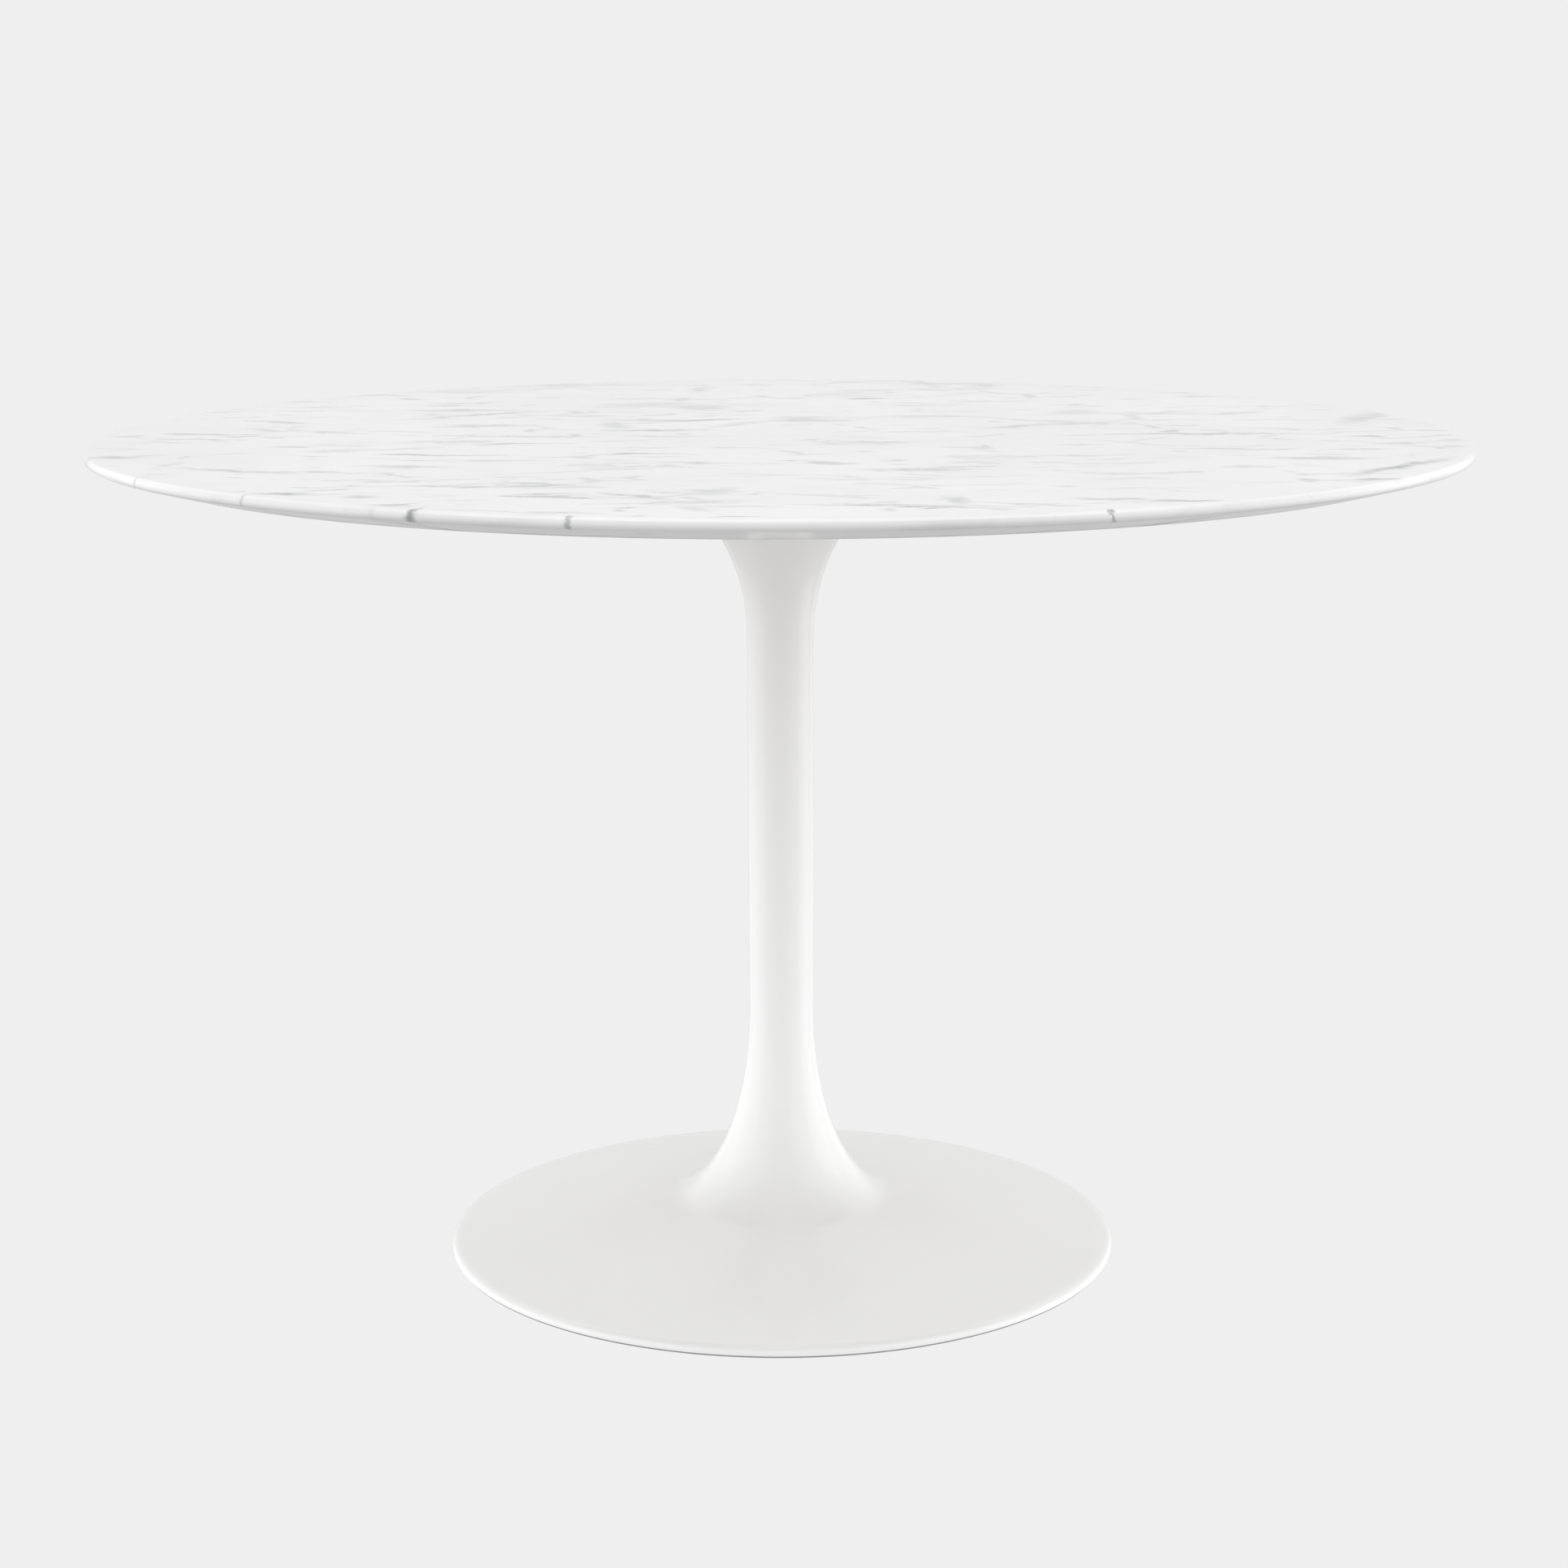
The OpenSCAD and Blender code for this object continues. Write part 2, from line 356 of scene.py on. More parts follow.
def marble():
    finish = Finish("polished_marble", Roughness=0.16, IOR=1.5)
    place = finish.warped(9, 0.55, 0.07)
    near = finish.warped(34, 0.6, 0.035)

    # Feathery web of faint veins, broken into short lengths: the scale, width and strength of each layer
    web = None
    for scale, width, weight in ((7.0, 0.045, 0.32), (15.0, 0.08, 0.42)):
        inputs = {"Vector": finish.stretched(0.62, 1.2, 1.0, place), "Scale": scale}
        cells = finish.node("ShaderNodeTexVoronoi", inputs, feature="DISTANCE_TO_EDGE").outputs["Distance"]
        line = finish.span(cells, 0.0, width, 1.0, 0.0, smooth=True)
        patches = finish.noise(scale * 1.3, 2, 0.5, finish.stretched(0.6, 1.3, 1.0))
        patches = finish.span(patches, 0.54, 0.64, smooth=True)
        line = finish.sum("MULTIPLY", finish.sum("MULTIPLY", line, patches), weight)
        web = finish.sum("MAXIMUM", web, line) if web else line

    # Single marks
    marks = None
    for x, y, length, width, angle, strength in VEINS:
        inputs = {
            "Vector": near, "Location": (x * MM, y * MM, 0.0), "Rotation": (0, 0, math.radians(angle)),
            "Scale": (length / 2 * MM, width / 2 * MM, 1.0),
        }
        local = finish.node("ShaderNodeMapping", inputs, vector_type="TEXTURE").outputs[0]
        away = finish.off_axis(local)
        mark = finish.span(away, 0.1, 1.3, strength, 0.0, smooth=True)
        marks = finish.sum("MAXIMUM", marks, mark) if marks else mark
    feather = finish.span(finish.noise(60, 4, 0.65, place), 0.35, 0.58, 0.5, 1.0)
    marks = finish.sum("MULTIPLY", marks, feather)

    # Short flecks that lie mostly left to right
    flecks = finish.noise(1, 3, 0.55, finish.stretched(10, 52, 10, place))
    flecks = finish.span(flecks, 0.57, 0.74, smooth=True)
    grouped = finish.span(finish.noise(5, 2, 0.5), 0.38, 0.58, 0.25, 1.0, smooth=True)
    flecks = finish.sum("MULTIPLY", finish.sum("MULTIPLY", flecks, grouped), 0.85)

    # The fine figure fades out on the lip
    fading = finish.span(finish.off_axis(finish.place), TOP_R - 16 * MM, TOP_R - 6 * MM, 1.0, 0.2)
    figure = finish.sum("MULTIPLY", finish.sum("MAXIMUM", web, flecks), fading)
    veins = finish.sum("MAXIMUM", marks, figure)
    clouds = finish.span(finish.noise(3.2, 4, 0.6, place), 0.4, 0.68, 0.0, 0.11)
    grain = finish.span(finish.noise(900, 1), *NOISE_SPAN, 0.0, 0.015)
    depth = finish.sum("MINIMUM", finish.sum("ADD", finish.sum("ADD", veins, clouds), grain), 1.0)
    stone, vein = (0.755, 0.755, 0.753, 1), (0.20, 0.21, 0.22, 1)
    finish.set("Base Color", finish.blend(depth, stone, vein))
    finish.roughen(14, 3, 0.12, 0.17)
    finish.bump(finish.noise(420, 2), 0.00001)
    return finish.material


def enamel():
    finish = Finish("white_gloss_enamel", Roughness=0.2, IOR=1.5)
    finish.set("Base Color", finish.mottle(3, 3, (0.88, 0.88, 0.88, 1), (0.895, 0.895, 0.893, 1)))
    finish.roughen(40, 3, 0.10, 0.15)
    finish.bump(finish.noise(170, 2), 0.00003)
    return finish.material


PLY_PAIR = 2.67 * MM  # about the height of one pale and one dark ply


def plywood():
    finish = Finish("birch_plywood", Roughness=0.5)
    height = finish.node("ShaderNodeSeparateXYZ", {0: finish.place}).outputs[2]
    drift = finish.sum("MULTIPLY_ADD", finish.noise(18, 3), 0.0006, height)
    upward = finish.node("ShaderNodeCombineXYZ", {2: drift}).outputs[0]
    inputs = {"Vector": upward, "Scale": 1 / PLY_PAIR / TAU * 2.0, "Distortion": 0.0}
    ply = finish.node("ShaderNodeTexWave", inputs, wave_type="BANDS", bands_direction="Z").outputs["Fac"]
    edge = finish.blend(finish.span(ply, 0.35, 0.65), (0.62, 0.46, 0.29, 1), (0.36, 0.23, 0.13, 1))
    grain = finish.noise(1, 6, 0.6, finish.stretched(9, 160, 160))
    figure = finish.noise(1, 3, 0.6, finish.stretched(1.6, 14, 14))
    face = finish.blend(finish.span(figure, 0.35, 0.65), (0.74, 0.66, 0.55, 1), (0.66, 0.58, 0.47, 1))
    face = finish.blend(finish.span(grain, 0.45, 0.75, 0.0, 0.35), face, (0.40, 0.26, 0.15, 1))
    normal = finish.node("ShaderNodeNewGeometry").outputs["Normal"]
    upright = finish.sum("ABSOLUTE", finish.node("ShaderNodeSeparateXYZ", {0: normal}).outputs[2])
    finish.set("Base Color", finish.blend(finish.span(upright, 0.6, 0.9), edge, face))
    finish.bump(finish.sum("MULTIPLY_ADD", grain, 0.6, finish.sum("MULTIPLY", ply, 0.4)), 0.0002)
    return finish.material


def steel(name, colour, roughness, lines=0.0):
    """Bare or plated metal. lines is the depth of fine turning marks across the axis, in metres."""
    finish = Finish(name, Metallic=1.0)
    pale = tuple(min(1, c * 1.08) for c in colour) + (1,)
    dark = tuple(c * 0.82 for c in colour) + (1,)
    finish.set("Base Color", finish.blend(finish.span(finish.noise(55, 4, 0.6), 0.35, 0.65), pale, dark))
    finish.roughen(260, 4, roughness * 0.8, roughness * 1.25)
    stretch = (20, 20, 5000) if lines else (600, 600, 600)
    finish.bump(finish.noise(1, 3, 0.6, finish.stretched(*stretch)), lines or 0.00002)
    return finish.material


def powder_coat():
    finish = Finish("black_powder_coat", Roughness=0.42)
    finish.set("Base Color", finish.mottle(30, 4, (0.018, 0.018, 0.019, 1), (0.034, 0.034, 0.035, 1)))
    finish.roughen(700, 3, 0.36, 0.52)
    finish.bump(finish.noise(900, 3, 0.6), 0.00008)
    return finish.material


def cast_iron():
    finish = Finish("primed_cast_iron", Roughness=0.62)
    rust = finish.span(finish.noise(24, 6, 0.7), 0.56, 0.72)
    primer = finish.mottle(90, 4, (0.035, 0.035, 0.036, 1), (0.075, 0.073, 0.07, 1))
    finish.set("Base Color", finish.blend(finish.sum("MULTIPLY", rust, 0.3), primer, (0.16, 0.08, 0.045, 1)))
    finish.roughen(300, 3, 0.5, 0.75)
    finish.bump(finish.noise(420, 5, 0.65), 0.0003)
    return finish.material


def rubber():
    finish = Finish("grey_rubber", Roughness=0.7)
    finish.set("Base Color", finish.mottle(120, 4, (0.30, 0.30, 0.30, 1), (0.36, 0.36, 0.355, 1)))
    finish.roughen(500, 3, 0.6, 0.8)
    finish.bump(finish.noise(1500, 2), 0.00004)
    return finish.material


def nylon():
    finish = Finish("moulded_nylon", Roughness=0.45)
    finish.set("Base Color", finish.mottle(200, 3, (0.016, 0.016, 0.017, 1), (0.028, 0.028, 0.029, 1)))
    finish.roughen(800, 3, 0.38, 0.55)
    finish.bump(finish.noise(2500, 2), 0.00002)
    return finish.material


MARBLE = marble()
ENAMEL = enamel()
PLYWOOD = plywood()
BRASS = steel("machined_brass", (0.78, 0.57, 0.24), 0.24, 0.00002)
POWDER = powder_coat()
TURNED = steel("turned_steel", (0.52, 0.52, 0.53), 0.28, 0.00003)
ZINC = steel("zinc_plate", (0.62, 0.63, 0.65), 0.3)
IRON = cast_iron()
RUBBER = rubber()
NYLON = nylon()


# ---------------------------------------------------------------- the stone top

SLAB_Z, TABLE_Z = TOP_LOW.z, TOP_HIGH.z
EDGE_ROUND, UNDER_ROUND = 5 * MM, 4.5 * MM
BEVEL_W = 45 * MM


def stone_slab():
    edge_z = TABLE_Z - EDGE_ROUND
    to_centre = Vector((BEVEL_W - UNDER_ROUND, edge_z - SLAB_Z))
    rise = math.atan2(to_centre.y, to_centre.x)
    bevel_angle = math.degrees(rise - math.asin(UNDER_ROUND / to_centre.length))
    outline = [
        (0, SLAB_Z), (TOP_R - BEVEL_W - MM, SLAB_Z), (TOP_R - BEVEL_W + MM, SLAB_Z + 0.26 * MM),
        *arc((TOP_R - UNDER_ROUND, edge_z), UNDER_ROUND, bevel_angle - 90, 0, 14),
        *arc((TOP_R - EDGE_ROUND, edge_z), EDGE_ROUND, 6, 90, 14),
        (0, TABLE_Z),
    ]
    slab = turned("stone_slab", stepped(outline, 0.1), sides=320)
    hand_over(slab, "table", "marble_top", MARBLE)


stone_slab()


# ---------------------------------------------------------------- what holds the stone

SCREW_R = (165 * MM, 245 * MM)
INSERT_R = 4.5 * MM
ARM_ANGLES = (0, TAU / 4, TAU / 2, TAU * 3 / 4)
SCREW_PLACES = [(r * math.cos(a), r * math.sin(a)) for a in ARM_ANGLES for r in SCREW_R]


def at_screws(name, outline, sides=48, shape=None):
    """The same turned solid at each screw, as one object."""
    bm = bmesh.new()
    for place in SCREW_PLACES:
        turned(name, outline, sides, shape, at=place, into=bm)
    return finished(bm, name)


def washer_outline(bore, radius, low, high, soft):
    return rounded([(bore, low), (radius, low), (radius, high), (bore, high)], soft)


def hole_outline(radius, low, high):
    return [(0, low), (radius, low), (radius, high), (0, high)]


def ply_board():
    r, chamfer = BOARD_HIGH.x, 3 * MM
    low, high = BOARD_LOW.z, BOARD_HIGH.z
    outline = [(0, low), (r - chamfer, low), (r, low + chamfer), (r, high), (0, high)]
    outline = rounded(outline, 1.2 * MM)
    board = turned("ply_board", stepped(outline, 0.12), sides=240)
    holes = at_screws("holes", hole_outline(INSERT_R, low - MM, INSERTS_HIGH.z), 36)
    board = combined(board, holes, "DIFFERENCE")
    hand_over(board, "table", "backing_board", PLYWOOD)


def brass_inserts():
    """Tubes with a coarse thread outside, which holds in the wood."""
    bore, pitch, depth = 3.05 * MM, 1.8 * MM, 0.7 * MM
    low, high = INSERTS_LOW.z, INSERTS_HIGH.z
    outline = [
        (bore, low), (INSERT_R, low), *ladder(INSERT_R, low + MM, high, 48),
        (INSERT_R - 0.4 * MM, high), (bore, high),
    ]
    inserts = at_screws("brass_inserts", outline, 36, threaded(pitch, depth, low + MM, high, INSERT_R))
    hand_over(inserts, "table", "threaded_inserts", BRASS)


def steel_spider():
    low, high = SPIDER_LOW.z, SPIDER_HIGH.z
    plate_r, root_half, tip_half, tip_r = 100.5 * MM, 35 * MM, 22 * MM, SCREW_R[1]
    soft = 0.7 * MM

    # Where an arm's side leaves the round middle
    slope = (tip_half - root_half) / tip_r
    square, linear, rest = 1 + slope ** 2, 2 * root_half * slope, root_half ** 2 - plate_r ** 2
    leave_x = (math.sqrt(linear ** 2 - 4 * square * rest) - linear) / 2 / square
    leave = math.atan2(root_half + slope * leave_x, leave_x)
    flat = []
    for arm in range(4):
        turn = Matrix.Rotation(arm * TAU / 4, 2)
        side_x = [leave_x + (tip_r - leave_x) * i / 4 for i in range(5)]
        side = [(x, root_half + slope * x) for x in side_x]
        tip = [(tip_r + tip_half * math.cos(t), tip_half * math.sin(t))
               for t in (math.pi * (i / 24 - 0.5) for i in range(1, 24))]
        middle = [(plate_r * math.cos(t), plate_r * math.sin(t))
                  for t in (leave + (TAU / 4 - 2 * leave) * i / 12 for i in range(1, 12))]
        flat += [turn @ Vector(p) for p in [(x, -y) for x, y in side] + tip + side[::-1] + middle]

    # The plate: rims drawn in at both faces for its rounded edges
    bm = bmesh.new()
    rims = []
    for z, inset in ((low, soft), (low + soft, 0), (high - soft, 0), (high, soft)):
        ring = []
        for i, here in enumerate(flat):
            ahead, behind = flat[(i + 1) % len(flat)], flat[i - 1]
            outward = Vector(((ahead - behind).y, -(ahead - behind).x)).normalized()
            ring.append(bm.verts.new((*(here - outward * inset), z)))
        rims.append(ring)
    bm.faces.new(rims[0])
    bm.faces.new(rims[-1])
    for lower, upper in zip(rims, rims[1:]):
        for i in range(len(flat)):
            j = (i + 1) % len(flat)
            bm.faces.new([lower[i], lower[j], upper[j], upper[i]])
    plate = finished(bm, "steel_spider")
    hole_r = 3.4 * MM
    holes = at_screws("holes", hole_outline(hole_r, low - MM, high + MM), 36)
    plate = combined(plate, holes, "DIFFERENCE")
    hand_over(plate, "table", "spider", POWDER)


def turned_hub():
    r, chamfer = HUB_HIGH.x, 1.5 * MM
    low, high = HUB_LOW.z, HUB_HIGH.z
    corners = [(TAPPED_R, low), (r - chamfer, low), (r, low + chamfer), (r, high), (TAPPED_R, high)]
    outline = rounded(corners, 0.3 * MM)
    hand_over(turned("turned_hub", outline, 96), "table", "spider_hub", TURNED)


def cap_screws():
    """Socket screws, heads down: a knurled head with a hexagon socket, and a threaded shank."""
    head_low, tip = SCREWS_LOW.z, SCREWS_HIGH.z
    head_high = WASHERS_LOW.z
    head_r, shank_r, socket_af, socket_h = 5.25 * MM, 3 * MM, 4 * MM, 2 * MM
    socket_r = socket_af / 2 / math.cos(TAU / 12)
    pitch = 1.0 * MM
    thread_low = head_high + 3 * MM
    cut = threaded(pitch, 0.55 * MM, thread_low, tip - 0.5 * MM, shank_r)
    flats = hexagon(socket_af)

    def shape(r, z, a):
        if r < socket_r + 1e-6 and z < head_high - MM:
            return flats(r, z, a)
        if r > head_r - 1e-6:
            return r - 0.12 * MM * (1 - math.cos(a * 24)) / 2
        return cut(r, z, a)

    rings = round((tip - 0.5 * MM - thread_low) / pitch * 6)
    thread = ladder(shank_r, thread_low, tip - 0.5 * MM, rings)
    outline = [
        (0, head_low + socket_h), (socket_r, head_low + socket_h), (socket_r, head_low + 0.2 * MM),
        (socket_r + 0.3 * MM, head_low), (head_r - 0.6 * MM, head_low),
        (head_r - 0.2 * MM, head_low + 0.15 * MM), (head_r, head_low + 0.5 * MM),
        (head_r, head_high), (shank_r, head_high), *thread,
        (shank_r - 0.5 * MM, tip), (0, tip),
    ]
    screws = at_screws("cap_screws", outline, 48, shape)
    hand_over(screws, "table", "spider_screws", ZINC)


def flat_washers():
    outline = washer_outline(3.2 * MM, 6.5 * MM, WASHERS_LOW.z, WASHERS_HIGH.z, 0.3 * MM)
    hand_over(at_screws("flat_washers", outline), "table", "spider_washers", ZINC)


ply_board()
brass_inserts()
steel_spider()
turned_hub()
cap_screws()
flat_washers()


# ---------------------------------------------------------------- the pedestal

WALL = 6 * MM
RIM_Z = PEDESTAL_LOW.z
FOOT_R = 190 * MM
FOOT_ANGLES = [TAU / 8 * (2 * k + 1) for k in range(4)]
FOOT_PLACES = [(FOOT_R * math.cos(a), FOOT_R * math.sin(a)) for a in FOOT_ANGLES]
SKIRT_R = BASE_R - 13 * MM
GROOVE = (BASE_R - 9 * MM, BASE_R - 5 * MM)
GROOVE_Z = RIM_Z + 3 * MM


def along(point, angle, length):
    """The point moved by a length at an angle in degrees."""
    turn = math.radians(angle)
    return point[0] + length * math.cos(turn), point[1] + length * math.sin(turn)


def pedestal_line():
    """The outer line of the casting, from the rim up to the mouth. The lengths beside the points are how far
    the handles of each curve reach. The disc falls outward by 6 degrees at its edge and 12.1 at the root."""
    rim = (BASE_R, RIM_Z + 2 * MM)
    disc_edge = (BASE_R - 10 * MM, 9 * MM)
    root = (104 * MM, 43.6 * MM)
    waist, neck = (29 * MM, 222 * MM), (29.5 * MM, 561 * MM)
    mouth = (MOUTH_R, MOUTH_Z - 3 * MM)
    line = [rim]
    line += bezier(rim, (BASE_R, rim[1] + 3.3 * MM), along(disc_edge, -6, 5.5 * MM), disc_edge, 8)
    line += bezier(disc_edge, along(disc_edge, 174, 60 * MM), along(root, -12.1, 60 * MM), root, 20)
    line += bezier(root, along(root, 167.9, 45 * MM), (waist[0], waist[1] - 97 * MM), waist, 28)
    stem = [i / 8 for i in range(1, 9)]
    line += [(waist[0] + (neck[0] - waist[0]) * t, waist[1] + (neck[1] - waist[1]) * t) for t in stem]
    below_mouth = (mouth[0] - 28.5 * MM, mouth[1] - 12.8 * MM)
    line += bezier(neck, (neck[0], neck[1] + 78 * MM), below_mouth, mouth, 24)
    return line


def inner_line(line):
    """The outer line moved in by the wall, from the mouth back to the rim."""
    inner = []
    for i in range(len(line) - 1, -1, -1):
        ahead, behind = Vector(line[min(i + 1, len(line) - 1)]), Vector(line[max(i - 1, 0)])
        step = (ahead - behind).normalized()
        inner.append((line[i][0] - step.y * WALL, line[i][1] + step.x * WALL))
    return inner


def cast_pedestal():
    outer = pedestal_line()
    sharp = 38  # degrees: flatter edges of the casting are smooth
    flange_z = MOUTH_Z - 9 * MM
    hub_r = 30 * MM
    cavity = [p for p in inner_line(outer) if p[1] < flange_z and p[0] < SKIRT_R - MM]
    outline = [
        (BASE_R, RIM_Z), *outer, (MOUTH_R, MOUTH_Z), (hub_r, MOUTH_Z), (hub_r, flange_z), *cavity,
        (SKIRT_R, RIM_Z), (GROOVE[0], RIM_Z), (GROOVE[0], GROOVE_Z), (GROOVE[1], GROOVE_Z),
        (GROOVE[1], RIM_Z),
    ]
    casting = turned("cast_pedestal", outline, sides=192, sharp=sharp)

    def mid_wall(r):
        """Height of the middle of the foot disc's wall at a radius."""
        for (far, low), (near, high) in zip(outer[1:], outer[2:]):
            if near <= r <= far:
                return low + (high - low) * (far - r) / (far - near) - WALL / 2

    # Ring that the ballast bears on, with a cast fillet on each side
    fillet = 4 * MM
    seat_r = (126 * MM, 138 * MM)
    inner_r, outer_r = seat_r[0] - fillet, seat_r[1] + fillet
    outline = [
        (seat_r[0], SEAT_Z), (seat_r[1], SEAT_Z),
        *arc((outer_r, mid_wall(outer_r) - WALL / 2 - fillet), fillet, 180, 90), (outer_r, mid_wall(outer_r)),
        (inner_r, mid_wall(inner_r)), *arc((inner_r, mid_wall(inner_r) - WALL / 2 - fillet), fillet, 90, 0),
    ]
    casting = combined(casting, turned("seat", outline, 192), "UNION", sharp)

    # Bosses for the feet. Their upper ends lean with the wall, so that each fillet meets it all round.
    boss_z, boss_r = 8.5 * MM, 9 * MM
    top = mid_wall(FOOT_R)
    face = top - WALL / 2
    outline = [
        (0, boss_z), (boss_r - 0.6 * MM, boss_z), (boss_r, boss_z + 0.6 * MM),
        *arc((boss_r + fillet, face - fillet), fillet, 180, 90, 8), (boss_r + fillet, top), (0, top),
    ]
    bm = bmesh.new()
    for place in FOOT_PLACES:
        turned("boss", outline, 64, at=place, into=bm)
    for vertex in bm.verts:
        lean = mid_wall(vertex.co.xy.length) - top
        vertex.co.z += lean * (vertex.co.z - boss_z) / (top - boss_z)
    casting = combined(casting, finished(bm, "bosses"), "UNION", sharp)
    hole_r, hole_z = 4.05 * MM, 22.7 * MM
    bm = bmesh.new()
    for place in FOOT_PLACES:
        turned("hole", hole_outline(hole_r, boss_z - MM, hole_z), 36, at=place, into=bm)
    casting = combined(casting, finished(bm, "holes"), "DIFFERENCE", sharp)
    hand_over(casting, "table", "pedestal", ENAMEL)


cast_pedestal()


# ---------------------------------------------------------------- under the foot disc

def rough_cast(obj, amount, scale, keep):
    """Moves the vertices in along their normals by noise, as a sand casting is rough.
    keep says which places stay."""
    normals = [vertex.normal.copy() for vertex in obj.data.vertices]
    for vertex, normal in zip(obj.data.vertices, normals):
        if not keep(vertex.co):
            vertex.co += normal * (noise.noise(vertex.co * scale) * amount - amount)


def ballast():
    r, low, high = BALLAST_HIGH.x, BALLAST_LOW.z, BALLAST_HIGH.z
    pocket_r, pocket_z, bore_r, hub_r = 25 * MM, 26 * MM, 6.6 * MM, 42 * MM
    chamfer = 3 * MM
    outline = [
        (pocket_r, low), (r - chamfer, low), (r, low + chamfer), (r, SEAT_Z), (hub_r + 10 * MM, SEAT_Z),
        (hub_r, high), (bore_r, high), (bore_r, pocket_z), (pocket_r, pocket_z),
    ]
    disc = turned("cast_ballast", stepped(rounded(outline, 1.5 * MM), 3 * MM), sides=240)
    machined = pocket_r + 4 * MM
    rough_cast(disc, 0.12 * MM, 260, lambda co: co.xy.length < machined)
    hand_over(disc, "table", "ballast_disc", IRON)


def threaded_rod():
    r, low, high = 6 * MM, ROD_LOW.z, ROD_HIGH.z
    pitch = 1.75 * MM
    foot = (low + MM, low + 46 * MM)
    head = (high - 26 * MM, high - MM)
    cuts = [threaded(pitch, 1.0 * MM, *span, r) for span in (foot, head)]

    def shape(radius, z, a):
        return min(cut(radius, z, a) for cut in cuts)

    def rings(span):
        return ladder(r, *span, round((span[1] - span[0]) / pitch * 8))

    outline = [(0, low), (r - MM, low), *rings(foot), *rings(head), (r - MM, high), (0, high)]
    rod = turned("threaded_rod", outline, 48, shape)
    hand_over(rod, "table", "tie_rod", ZINC)


def rod_hardware():
    outline = washer_outline(6.5 * MM, 18 * MM, ROD_WASHER_LOW.z, ROD_WASHER_HIGH.z, 0.5 * MM)
    hand_over(turned("plate_washer", outline, 96), "table", "rod_washer", ZINC)
    across_flats = 18 * MM
    outline = nut_outline(TAPPED_R, across_flats, ROD_NUT_LOW.z, ROD_NUT_HIGH.z)
    nut = turned("hex_nut", outline, 96, hexagon(across_flats))
    hand_over(nut, "table", "rod_nut", ZINC)


def nut_outline(bore, across_flats, low, high):
    """A hexagon with its corners chamfered at both ends by a 30 degree cone."""
    flat, corner = across_flats / 2, across_flats / 2 / math.cos(TAU / 12)
    slope = math.tan(math.radians(30))
    cone = [(flat - 0.3 * MM + (corner - flat + 0.3 * MM) * i / 5) for i in range(6)]
    bottom = [(r, low + (r - cone[0]) * slope) for r in cone]
    top = [(r, high - (r - cone[0]) * slope) for r in reversed(cone)]
    lead = 0.8 * MM
    return [(bore + lead, low), *bottom, *top, (bore + lead, high), (bore, high - lead), (bore, low + lead)]


def floor_ring():
    r, gap = RING_HIGH.x, 0.1 * MM
    inner, deck, tongue = SKIRT_R + MM, RIM_Z, RING_HIGH.z
    outline = rounded([
        (inner, 0), (r, 0), (r, deck), (GROOVE[1] - gap, deck), (GROOVE[1] - gap, tongue),
        (GROOVE[0] + gap, tongue), (GROOVE[0] + gap, deck), (inner, deck)], 0.5 * MM)
    hand_over(turned("rubber_ring", outline, 256), "table", "floor_ring", RUBBER)


def levelling_foot(k, place):
    """Foot number k: a fluted nylon pad, and a stud with a pivot, a hexagon and a thread."""
    pad_low, pad_high = (corner.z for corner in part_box(f"foot_pad_{k}"))
    stud_low, stud_high = (corner.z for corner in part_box(f"foot_stud_{k}"))
    r, socket_r, socket_z = 17 * MM, 5 * MM, 2.6 * MM
    grip = [(r, pad_low + 1.6 * MM), (r, pad_high - 1.6 * MM)]
    outline = [
        (0, pad_low + 0.3 * MM), (r - 6 * MM, pad_low + 0.3 * MM), (r - 5 * MM, pad_low),
        (r - 1.4 * MM, pad_low), (r - 0.4 * MM, pad_low + 0.5 * MM), *grip,
        (r - 0.4 * MM, pad_high - 0.6 * MM), (r - 1.2 * MM, pad_high),
        (socket_r + 0.4 * MM, pad_high), (socket_r, pad_high - 0.4 * MM), (socket_r, socket_z), (0, socket_z),
    ]

    def fluted(radius, z, a):
        return radius - 0.5 * MM * (1 - math.cos(a * 30)) / 2 if radius > r - 0.1 * MM else radius

    pad = turned(f"nylon_pad_{k}", outline, 240, fluted, at=place)
    hand_over(pad, f"foot_{k}", f"foot_pad_{k}", NYLON)

    pivot_r, stud_r, across_flats, pitch = 4.95 * MM, 4 * MM, 13 * MM, 1.25 * MM
    hex_low = pad_high + 0.1 * MM
    hex_high = hex_low + 3 * MM
    thread = (hex_high + 0.2 * MM, stud_high - 0.2 * MM)
    cut = threaded(pitch, 0.75 * MM, *thread, stud_r)
    flats = hexagon(across_flats)

    def shape(radius, z, a):
        return flats(radius, z, a) if radius > pivot_r + 1e-6 else cut(radius, z, a)

    hexagon_line = [p for p in nut_outline(0, across_flats, hex_low, hex_high) if p[0] > pivot_r]
    rings = round((thread[1] - thread[0]) / pitch * 8)
    outline = [
        (0, stud_low), (pivot_r, stud_low), (pivot_r, hex_low), *hexagon_line, (stud_r, hex_high),
        *ladder(stud_r, *thread, rings), (stud_r - 0.7 * MM, stud_high), (0, stud_high),
    ]
    stud = turned(f"screw_stud_{k}", outline, 48, shape, at=place)
    hand_over(stud, f"stud_{k}", f"foot_stud_{k}", ZINC)


ballast()
threaded_rod()
rod_hardware()
floor_ring()
for k, place in enumerate(FOOT_PLACES, 1):
    levelling_foot(k, place)


# ---------------------------------------------------------------- stage, light and camera

BACKDROP = 0.863  # linear value of the plain pale ground
FLOOR_R = 60.0


